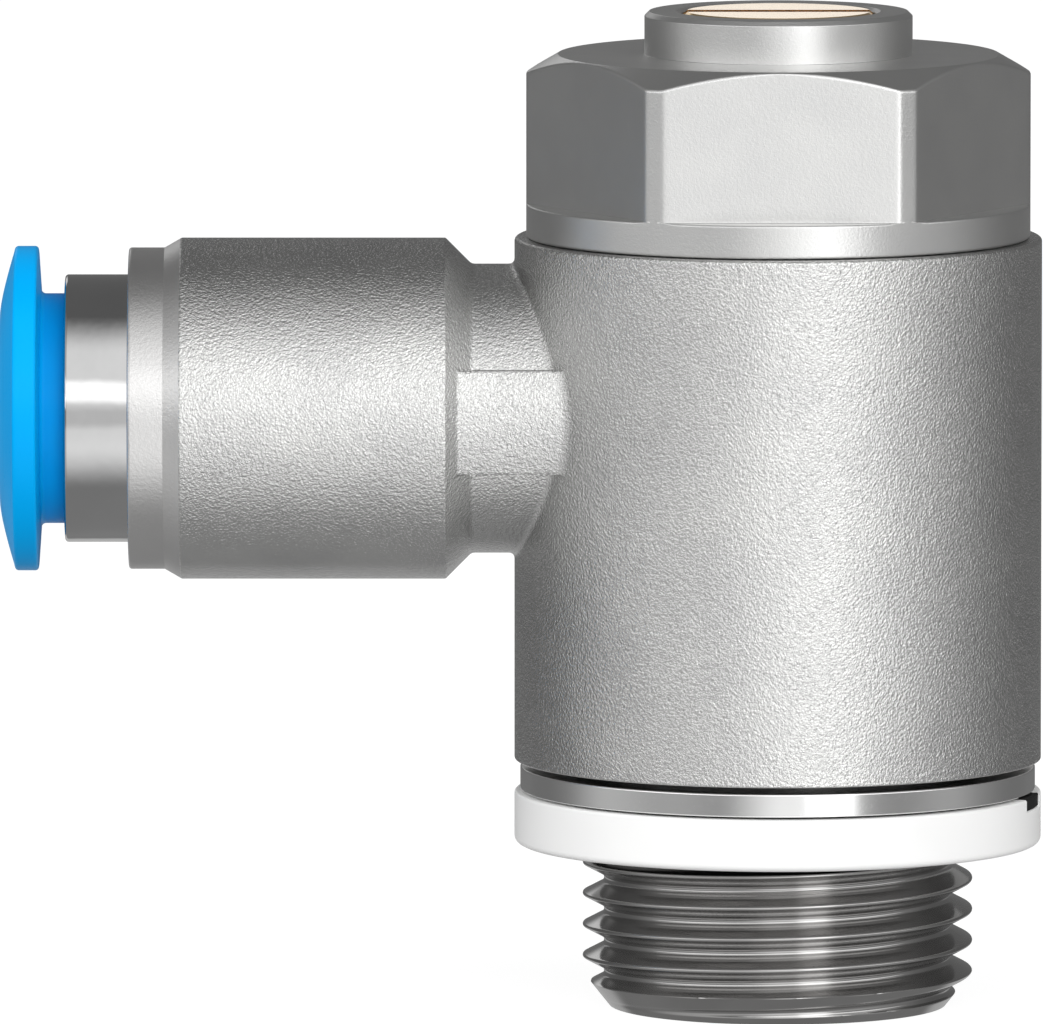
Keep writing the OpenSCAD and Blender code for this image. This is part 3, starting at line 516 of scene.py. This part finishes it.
def thread_tree():
    """Geometry tree: lays a grid around the bolt and gives it the thread's rounded section.
    The grid's rows climb with the thread, so each row stays on one line of its section."""
    tree = bpy.data.node_groups.new("pipe_thread", "GeometryNodeTree")
    tree.interface.new_socket("Geometry", in_out="OUTPUT", socket_type="NodeSocketGeometry")
    for name, value in THREAD.items():
        socket = tree.interface.new_socket(name, in_out="INPUT", socket_type="NodeSocketFloat")
        socket.default_value = value
    socket = tree.interface.new_socket("Finish", in_out="INPUT", socket_type="NodeSocketMaterial")
    nodes, links = tree.nodes, tree.links
    given = nodes.new("NodeGroupInput")
    result = nodes.new("NodeGroupOutput")

    def reckon(kind, *terms):
        return math_node(tree, kind, *terms)

    value = given.outputs
    grid = nodes.new("GeometryNodeMeshGrid")
    grid.inputs["Size X"].default_value = 1.0
    grid.inputs["Size Y"].default_value = 1.0
    grid.inputs["Vertices X"].default_value = THREAD_COLUMNS + 1
    grid.inputs["Vertices Y"].default_value = THREAD_ROWS + 1
    where = nodes.new("GeometryNodeInputPosition")
    parts = nodes.new("ShaderNodeSeparateXYZ")
    links.new(where.outputs["Position"], parts.inputs["Vector"])
    share = reckon("ADD", parts.outputs["X"], 0.5)
    angle = reckon("MULTIPLY", share, 2 * math.pi)
    # rows crowd towards the crests and the roots, where the section bends
    climb = reckon("MULTIPLY_ADD", share, value["Pitch"], value["Crest height"])
    even = reckon("MULTIPLY_ADD", reckon("ADD", parts.outputs["Y"], 0.5), value["Turns"],
                  value["First turn"])
    wave = reckon("SINE", reckon("MULTIPLY", even, 4 * math.pi))
    crowded = reckon("MULTIPLY_ADD", wave, value["Crowding"], even)
    raised = reckon("MULTIPLY_ADD", crowded, value["Pitch"], climb)
    height = reckon("MINIMUM", reckon("MAXIMUM", raised, value["Tip height"]),
                    value["Top height"])
    # off is 0 on a crest's line and half a turn on a root's; aside is the distance in
    # millimetres to the nearer of the two
    turns = reckon("DIVIDE", reckon("SUBTRACT", height, climb), value["Pitch"])
    off = reckon("ABSOLUTE", reckon("SUBTRACT", reckon("FRACT", reckon("ADD", turns, 100.5)), 0.5))
    in_root = reckon("GREATER_THAN", off, 0.25)
    near = reckon("SUBTRACT", 0.25, reckon("ABSOLUTE", reckon("SUBTRACT", off, 0.25)))
    aside = reckon("MULTIPLY", near, value["Pitch"])
    # the section above or below mid-flank: a straight flank, and a round crown on its peak
    slope = 1 / math.tan(FLANK_ANGLE)
    peak = reckon("MULTIPLY", value["Pitch"], 0.25 * slope)
    flank = reckon("SUBTRACT", peak, reckon("MULTIPLY", aside, slope))
    rounding = reckon("ADD", value["Crest rounding"], reckon("MULTIPLY", in_root, reckon(
        "SUBTRACT", value["Root rounding"], value["Crest rounding"])))
    squares = reckon("SUBTRACT", reckon("MULTIPLY", rounding, rounding),
                     reckon("MULTIPLY", aside, aside))
    lost = 1 / math.sin(FLANK_ANGLE) - 1
    sag = reckon("SUBTRACT", rounding, reckon("SQRT", reckon("MAXIMUM", squares, 0.0)))
    crown = reckon("SUBTRACT", peak, reckon("MULTIPLY_ADD", rounding, lost, sag))
    on_crown = reckon("LESS_THAN", aside, reckon("MULTIPLY", rounding, math.cos(FLANK_ANGLE)))
    section = reckon("ADD", reckon("MULTIPLY", crown, on_crown),
                     reckon("MULTIPLY", flank, reckon("SUBTRACT", 1.0, on_crown)))
    side = reckon("MULTIPLY_ADD", in_root, -2.0, 1.0)
    middle = reckon("SUBTRACT", value["Crest radius"], reckon(
        "SUBTRACT", peak, reckon("MULTIPLY", value["Crest rounding"], lost)))
    radius = reckon("ADD", middle, reckon("MULTIPLY", section, side))
    chamfer = reckon("MULTIPLY_ADD", reckon("SUBTRACT", height, value["Tip height"]),
                     value["Tip slope"], value["Tip radius"])
    radius = reckon("SMOOTH_MIN", radius, chamfer, value["Tip easing"])
    point = nodes.new("ShaderNodeCombineXYZ")
    links.new(reckon("MULTIPLY", radius, reckon("COSINE", angle)), point.inputs["X"])
    links.new(reckon("MULTIPLY", radius, reckon("SINE", angle)), point.inputs["Y"])
    links.new(height, point.inputs["Z"])
    scale = nodes.new("ShaderNodeVectorMath")
    scale.operation = "SCALE"
    scale.inputs["Scale"].default_value = MM
    links.new(point.outputs["Vector"], scale.inputs[0])
    lay = nodes.new("GeometryNodeSetPosition")
    links.new(grid.outputs["Mesh"], lay.inputs["Geometry"])
    links.new(scale.outputs["Vector"], lay.inputs["Position"])
    real = nodes.new("GeometryNodeRealizeInstances")
    paint = nodes.new("GeometryNodeSetMaterial")
    links.new(lay.outputs["Geometry"], real.inputs["Geometry"])
    links.new(real.outputs["Geometry"], paint.inputs["Geometry"])
    links.new(given.outputs["Finish"], paint.inputs["Material"])
    links.new(paint.outputs["Geometry"], result.inputs["Geometry"])
    return tree


def tree_piece(name, tree, values):
    """Runs a geometry tree with its inputs set, and leaves a plain mesh."""
    piece = bpy.data.objects.new(name, bpy.data.meshes.new(name + "_start"))
    bpy.context.scene.collection.objects.link(piece)
    run = piece.modifiers.new("tree", "NODES")
    run.node_group = tree
    for item in tree.interface.items_tree:
        if item.in_out == "INPUT":
            run[item.identifier] = values[item.name]
    whole = piece.evaluated_get(bpy.context.evaluated_depsgraph_get())
    mesh = bpy.data.meshes.new_from_object(whole)
    piece.modifiers.clear()
    piece.data = mesh
    return piece


# the thread's nickel is coloured much darker than the head's, as painted shade for its grooves
thread_shaded_nickel = finish("thread_shaded_nickel", (0.41, 0.405, 0.40), (0.45, 0.445, 0.44), metallic=1.0,
                    roughness=0.14, spread=0.02, grain=(7000, 16000, 0.4, 400), depth=0.0003)
bolt_thread = tree_piece("bolt_thread", thread_tree(), {**THREAD, "Finish": thread_shaded_nickel})
# the tip's face with its bevelled mouth, the bore and the upper end close the threaded end
MOUTH_BEVEL = 0.3
tip = THREAD["Tip height"]
steps_down = ((BOLT_BORE_R + MOUTH_BEVEL, tip), (BOLT_BORE_R, tip + MOUTH_BEVEL))
steps_up = ((BOLT_BORE_R, SHANK_LOW),)
shape = bmesh.new()
shape.from_mesh(bolt_thread.data)
bmesh.ops.remove_doubles(shape, verts=shape.verts, dist=DOUBLES)
open_edges = [edge for edge in shape.edges if edge.is_boundary]
low_edges = [edge for edge in open_edges if edge.verts[0].co.z < tip / 2 * MM]
high_edges = [edge for edge in open_edges if edge.verts[0].co.z >= tip / 2 * MM]
rims = []
for edges, steps in ((low_edges, steps_down), (high_edges, steps_up)):
    for r, z in steps:
        grown = bmesh.ops.extrude_edge_only(shape, edges=edges)["geom"]
        edges = [g for g in grown if isinstance(g, bmesh.types.BMEdge)]
        for vert in [g for g in grown if isinstance(g, bmesh.types.BMVert)]:
            k = r * MM / math.hypot(vert.co.x, vert.co.y)
            vert.co = (vert.co.x * k, vert.co.y * k, z * MM)
    rims += edges
bmesh.ops.bridge_loops(shape, edges=rims)
shape.to_mesh(bolt_thread.data)
shape.free()
finished_mesh(bolt_thread, 40)
dress(bolt_thread, thread_shaded_nickel, "bolt", "nickel_bolt", "hollow_bolt")

# The bright ring is turned from steel, ground bright and pressed on the bolt below the body, so
# that the body can't slip off. Its foot is undercut, which leaves a fine dark line below it.
RING_LOW = 2.21
RING_TOP = 3.3
RING_R = 11.0
RING_BORE_R = 8.4
UNDERCUT_R = 10.3
bright_steel = finish("bright_steel", (0.89, 0.89, 0.885), (0.93, 0.93, 0.925), metallic=1.0,
                      roughness=0.13, spread=0.05, grain=(2500, 9000, 0.5, 300), depth=0.0006)
ring_line = rounded([(RING_BORE_R, RING_LOW, 0), (UNDERCUT_R, RING_LOW, 0),
                     (UNDERCUT_R + 0.05, RING_LOW + 0.08, 0.02), (RING_R, RING_LOW + 0.1, 0.05),
                     (RING_R, RING_TOP, 0.08), (RING_BORE_R, RING_TOP, 0)])
bright_ring = turned_piece("bright_ring", ring_line)
dress(bright_ring, bright_steel, "bolt", "bright_steel", "retaining_ring")

# The port seal is a ring of black rubber, carried by a ring moulded in white plastic that sits
# below the bright ring. One notch in the white rim lets a tab of the rubber show.
CARRIER_R = 11.25
CARRIER_BORE_R = 8.45
LEDGE_R = 10.5
LEDGE_TOP = 0.9
NOTCH = math.radians(-13.5)
NOTCH_HALF = math.asin(1.2345 / 10.9)
NOTCH_DEPTH = 0.52
NOTCH_EDGE = 0.0004
TAB_R = 11.19
TAB_INSIDE_R = 10.45
TAB_LOW = 1.70
TAB_TOP = 2.24
TAB_LINES = 17
TAB_SHARE = 0.985


def carrier_outline(a):
    """The carrier's outline, whose rim is lower in the notch."""
    off = abs((a - NOTCH + math.pi) % (2 * math.pi) - math.pi)
    top = RING_LOW - (NOTCH_DEPTH if off < NOTCH_HALF else 0.0)
    return rounded([(CARRIER_BORE_R, 0, 0.1), (CARRIER_R, 0, 0.28), (CARRIER_R, top, 0.1),
                    (LEDGE_R, top, 0.04), (LEDGE_R, LEDGE_TOP, 0), (CARRIER_BORE_R, LEDGE_TOP, 0)])


def seal_tab_shell():
    """The tab's shell: its outline, drawn along the notch and closed at both ends."""
    outline = rounded([(TAB_INSIDE_R, TAB_LOW, 0), (TAB_R, TAB_LOW, 0.03), (TAB_R, TAB_TOP, 0.05),
                       (TAB_INSIDE_R, TAB_TOP, 0)])
    angles = [NOTCH + NOTCH_HALF * (2 * k / (TAB_LINES - 1) - 1) * TAB_SHARE
              for k in range(TAB_LINES)]
    rows = [[upright(r, a, h) for a in angles] for r, h in outline]
    shell = ([], [])
    add_skin(shell, rows + rows[:1], joined=False)
    for j in (0, TAB_LINES - 1):
        shell[1].append([TAB_LINES * i + j for i in range(len(rows))])
    return shell


white_plastic = finish("white_plastic", (0.90, 0.90, 0.895), (0.93, 0.93, 0.925), metallic=0.0,
                       roughness=0.42, spread=0.1, grain=(2500, 9000, 0.4, 200), depth=0.002)
carrier_angles = [2 * math.pi * i / 256 for i in range(256)]
# a line close on each side of the notch's ends keeps them upright
for side in (-1, 1):
    for gap in (-NOTCH_EDGE, NOTCH_EDGE):
        carrier_angles.append((NOTCH + side * NOTCH_HALF + gap) % (2 * math.pi))
carrier = turned_piece("seal_carrier", carrier_outline, angles=sorted(carrier_angles))
dress(carrier, white_plastic, "bolt", "white_plastic", "port_seal_carrier")
rubber = finish("black_rubber", (0.006, 0.006, 0.006), (0.010, 0.010, 0.010), metallic=0.0,
                roughness=0.65, spread=0.15, grain=(4000, 12000, 0.5, 300), depth=0.003,
                shine=0.25)
seal_tab = piece_from("port_seal_tab", seal_tab_shell())
dress(seal_tab, rubber, "bolt", "black_rubber")

# The steel sleeve is deep-drawn, polished and pressed into the arm's mouth. Its rim is turned
# inward and keeps the grip collet and the release ring in the arm.
SLEEVE_R = 5.71
SLEEVE_BORE_R = 5.31
SLEEVE_RIM_R = 5.005
SLEEVE_END = 30.41
SLEEVE_RIM = 29.96
polished_steel = finish("polished_steel", (0.53, 0.53, 0.53), (0.56, 0.56, 0.56), metallic=1.0,
                        roughness=0.06, spread=0.03, grain=(170, 1500, 0.04, 300), depth=0.11)
sleeve_line = rounded([(SLEEVE_R, SOCKET_FLOOR, 0), (SLEEVE_R, SLEEVE_END, 0.14),
                       (SLEEVE_RIM_R, SLEEVE_END, 0.05), (SLEEVE_RIM_R, SLEEVE_RIM, 0.05),
                       (SLEEVE_BORE_R, SLEEVE_RIM, 0), (SLEEVE_BORE_R, SOCKET_FLOOR, 0)])
sleeve = turned_piece("steel_sleeve", sleeve_line, along_arm)
dress(sleeve, polished_steel, "swivel", "bright_steel", "cartridge_sleeve")

# The release ring is moulded in blue plastic. Its neck slides in the sleeve and its nose opens
# the collet's teeth when the domed flange is pressed. Four slots let it be snapped in.
RELEASE_BORE_R = 4.15
NECK_OUT_R = 4.905
BEAD_R = 5.22
FLANGE_R = 6.925
FLANGE_BACK = 31.42
FLANGE_RIM = 32.53
DOME_TOP = 33.17
DOME_DROP = 0.64
DOME_MOUTH_R = 4.27
DOME_EDGE_R = 6.865
DOME_STEPS = 14
SLOT_HALF = 0.45
SLOT_REACH = 8
SLOT_FROM = 21.9
SLOT_TO = 30.16


def release_line():
    """The release ring's outline: nose, bead, neck, flange with a tapered back, and dome."""
    line = rounded([(RELEASE_BORE_R, 22.955, 0), (4.45, 22.955, 0), (4.6, 24.055, 0),
                    (NECK_OUT_R, 24.455, 0), (NECK_OUT_R, 29.16, 0), (BEAD_R, 29.36, 0),
                    (BEAD_R, 29.86, 0), (NECK_OUT_R, 29.86, 0), (NECK_OUT_R, FLANGE_BACK, 0.2),
                    (FLANGE_R, FLANGE_BACK + 0.14, 0.14), (FLANGE_R, FLANGE_RIM, 0.16),
                    (6.7, FLANGE_RIM + 0.052, 0)], closed=False)[:-1]
    for i in range(1, DOME_STEPS + 1):
        u = 1 - i / DOME_STEPS
        line.append((DOME_MOUTH_R + (DOME_EDGE_R - DOME_MOUTH_R) * u,
                     DOME_TOP - DOME_DROP * u ** 1.25))
    line += [(RELEASE_BORE_R + 0.04, DOME_TOP - 0.04), (RELEASE_BORE_R, DOME_TOP - 0.12)]
    return line


def slot_cutter(way):
    """A long box across the whole neck, which cuts a slot on each side of it."""
    corners = []
    for h in (SLOT_FROM, SLOT_TO):
        for w, l in ((-1, -1), (1, -1), (1, 1), (-1, 1)):
            w *= SLOT_HALF
            l *= SLOT_REACH
            corners.append((-h, w * math.cos(way) - l * math.sin(way),
                            ARM_Z + w * math.sin(way) + l * math.cos(way)))
    sides = [(0, 1, 2, 3), (4, 7, 6, 5), (0, 4, 5, 1), (1, 5, 6, 2), (2, 6, 7, 3), (3, 7, 4, 0)]
    return piece_from("slot", (corners, sides))


blue_plastic = finish("blue_plastic", (0.0, 0.37, 0.86), (0.0, 0.40, 0.90), metallic=0.0,
                      roughness=0.32, spread=0.08, grain=(1800, 7000, 0.4, 150), depth=0.0012,
                      shine=0.06)
release_ring = turned_piece("release_ring_moulding", release_line(), along_arm)
release_ring = cut_away(release_ring, [slot_cutter(math.radians(a)) for a in (45, 135)])
dress(release_ring, blue_plastic, "release", "blue_plastic", "release_ring")

# The screw and the pieces inside keep their CAD shapes: the screw and its seat are turned from
# brass, the seals are moulded rubber, the rings that carry them are moulded plastic, and the
# collet is pressed from spring steel.
brass = finish("turned_brass", (0.97, 0.70, 0.37), (1.0, 0.74, 0.42), metallic=1.0,
               roughness=0.14, spread=0.05, grain=(3000, 12000, 0.5, 300), depth=0.0003)
ivory = finish("ivory_plastic", (0.72, 0.68, 0.56), (0.78, 0.74, 0.62), metallic=0.0,
               roughness=0.42, spread=0.1, grain=(2500, 9000, 0.4, 200), depth=0.002)
spring_steel = finish("spring_steel", (0.50, 0.50, 0.49), (0.56, 0.56, 0.55), metallic=1.0,
                      roughness=0.22, spread=0.08, grain=(2500, 9000, 0.5, 300), depth=0.001)
for material, names in (
        (brass, ("regulating_screw", "throttle_seat")),
        (rubber, ("port_seal", "screw_seal", "upper_body_seal", "lower_body_seal",
                  "check_lip_seal", "tube_seal")),
        (ivory, ("lip_seal_ring", "collet_ring", "seal_washer")),
        (spring_steel, ("grip_collet",))):
    for name in names:
        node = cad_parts[name]
        node.data.materials.clear()
        node.data.materials.append(material)

# The studio is no part of the object: a plain pale table, a world of soft boxes, two soft lamps
# and one small lamp for the brass screw. The camera stands 6 degrees above level, as the
# photo's did.
# half the table's side in metres, and its height in millimetres, just under the thread's tip
TABLE_HALF = 4
TABLE_HEIGHT = -7.02
table_mesh = bpy.data.meshes.new("table")
table_mesh.from_pydata([(x * TABLE_HALF, y * TABLE_HALF, TABLE_HEIGHT * MM)
                        for x, y in ((-1, -1), (1, -1), (1, 1), (-1, 1))], [], [(0, 1, 2, 3)])
table = bpy.data.objects.new("table", table_mesh)
bpy.context.scene.collection.objects.link(table)
table.visible_glossy = False
table.visible_diffuse = False
pale = bpy.data.materials.new("pale_table")
pale.use_nodes = True
pale_shader = pale.node_tree.nodes["Principled BSDF"]
for name, value in (("Base Color", (0.22, 0.22, 0.22, 1)), ("Roughness", 0.9),
                    ("Specular IOR Level", 0.0), ("Emission Color", (1, 1, 1, 1)),
                    ("Emission Strength", 0.9)):
    pale_shader.inputs[name].default_value = value
table_mesh.materials.append(pale)

world = bpy.data.worlds.new("studio")
bpy.context.scene.world = world
world.use_nodes = True
sky = world.node_tree
sky.nodes.clear()


def window(value, middle, half, soft):
    """1 within half of the middle, and softly 0 beyond; angles in degrees."""
    node = sky.nodes.new("ShaderNodeMapRange")
    node.interpolation_type = "SMOOTHSTEP"
    off = math_node(sky, "ABSOLUTE", math_node(sky, "SUBTRACT", value, math.radians(middle)))
    sky.links.new(off, node.inputs["Value"])
    node.inputs["From Min"].default_value = math.radians(half)
    node.inputs["From Max"].default_value = math.radians(half + soft)
    node.inputs["To Min"].default_value = 1.0
    node.inputs["To Max"].default_value = 0.0
    return node.outputs["Result"]


direction = sky.nodes.new("ShaderNodeTexCoord")
axes = sky.nodes.new("ShaderNodeSeparateXYZ")
sky.links.new(direction.outputs["Generated"], axes.inputs["Vector"])
towards_camera = math_node(sky, "MULTIPLY", axes.outputs["Y"], -1.0)
azimuth = math_node(sky, "ARCTAN2", axes.outputs["X"], towards_camera)
behind = math_node(sky, "ARCTAN2", axes.outputs["X"], axes.outputs["Y"])
elevation = math_node(sky, "ARCSINE", axes.outputs["Z"])
ROOM_LIGHT = 0.155
# each box: its turn to the right of the camera (or of straight behind), half its width and its
# soft edge, then its height, half of that and its soft edge, all in degrees, and its strength
SOFT_BOXES = (
    (azimuth, 0, 35, 95, 14, 40, 42, 0.44),      # the broad box in front
    (azimuth, -54, 30, 10, 9, 3, 3, 0.90),       # a thin strip on the left
    (azimuth, 56, 26, 12, 9, 3, 3, 0.90),        # and one on the right, for the skin's glints
    (azimuth, 10, 7, 31, 14, 40, 42, 0.60),      # a brighter middle
    (azimuth, 24, 6, 8, 10, 28, 22, 0.95),       # the bright box right of the camera
    (azimuth, -70, 14, 28, 10, 34, 40, 0.10),    # a weak panel on the left
    (azimuth, 0, 60, 30, 19.5, 5, 7, 0.80),      # a bar above the camera
    (azimuth, 0, 50, 40, -2, 4, 9, -0.32),       # the dark gap at the table's edge
    (azimuth, 0, 180, 10, -90, 45, 35, 0.14),    # the table's own glow from below
    (behind, 0, 26, 14, -20, 6, 8, 0.35),        # a low box behind
    (behind, -15, 5, 6, 21, 6, 8, 0.7))          # a small high one behind
light = ROOM_LIGHT
for way, middle, half, soft, height, high, fade, strength in SOFT_BOXES:
    box = math_node(sky, "MULTIPLY", window(way, middle, half, soft),
                    window(elevation, height, high, fade))
    light = math_node(sky, "MULTIPLY_ADD", box, strength, light)
ray = sky.nodes.new("ShaderNodeLightPath")
seen = sky.nodes.new("ShaderNodeMix")
sky.links.new(ray.outputs["Is Camera Ray"], seen.inputs["Factor"])
sky.links.new(light, seen.inputs["A"])
seen.inputs["B"].default_value = 1.0
background = sky.nodes.new("ShaderNodeBackground")
background.inputs["Color"].default_value = (1, 1, 1, 1)
sky.links.new(seen.outputs["Result"], background.inputs["Strength"])
sky_end = sky.nodes.new("ShaderNodeOutputWorld")
sky.links.new(background.outputs["Background"], sky_end.inputs["Surface"])


def soft_lamp(name, energy, width, height, place, tilt, turn):
    """A rectangular lamp: its size and place are in metres, its tilt and turn in radians."""
    lamp = bpy.data.lights.new(name, "AREA")
    lamp.shape = "RECTANGLE"
    lamp.size = width
    lamp.size_y = height
    lamp.energy = energy
    soft_box = bpy.data.objects.new(name, lamp)
    bpy.context.scene.collection.objects.link(soft_box)
    soft_box.location = place
    soft_box.rotation_euler = (tilt, 0, turn)
    return soft_box


# the two lamps: their name, how far they stand to the right of the camera and above level in
# degrees, and their power in watts
LAMP_SIZE = 0.4
LAMP_AWAY = 0.6
for name, way, height, energy in (("left_box", -65, 35, 1.3), ("right_box", 60, 30, 0.8)):
    way, height = math.radians(way), math.radians(height)
    place = (LAMP_AWAY * math.sin(way) * math.cos(height),
             -LAMP_AWAY * math.cos(way) * math.cos(height), LAMP_AWAY * math.sin(height))
    soft_box = soft_lamp(name, energy, LAMP_SIZE, LAMP_SIZE, place, math.pi / 2 - height, way)
    soft_box.visible_glossy = False
# a small lamp low behind shines on the brass screw alone
screw_lamp = soft_lamp("screw_lamp", 0.065, 0.30, 0.08, (0, 0.5, 0.0886), math.radians(84),
                       math.pi)
lit = bpy.data.collections.new("lit_by_screw_lamp")
lit.objects.link(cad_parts["regulating_screw"])
screw_lamp.light_linking.receiver_collection = lit

CAMERA_AWAY = 0.939
CAMERA_TILT = math.radians(6.06)
# the point that the camera looks at, in the middle of the photo
AIM_X = -0.01095
AIM_Z = 0.01414
lens = bpy.data.cameras.new("camera")
lens.sensor_width = 36
lens.sensor_fit = "HORIZONTAL"
lens.lens = 759
lens.clip_start = 0.05
lens.clip_end = 20
camera = bpy.data.objects.new("camera", lens)
bpy.context.scene.collection.objects.link(camera)
camera.location = (AIM_X, -CAMERA_AWAY * math.cos(CAMERA_TILT),
                   AIM_Z + CAMERA_AWAY * math.sin(CAMERA_TILT))
camera.rotation_euler = (math.pi / 2 - CAMERA_TILT, 0, 0)
bpy.context.scene.camera = camera
bpy.context.scene.view_settings.view_transform = "Standard"
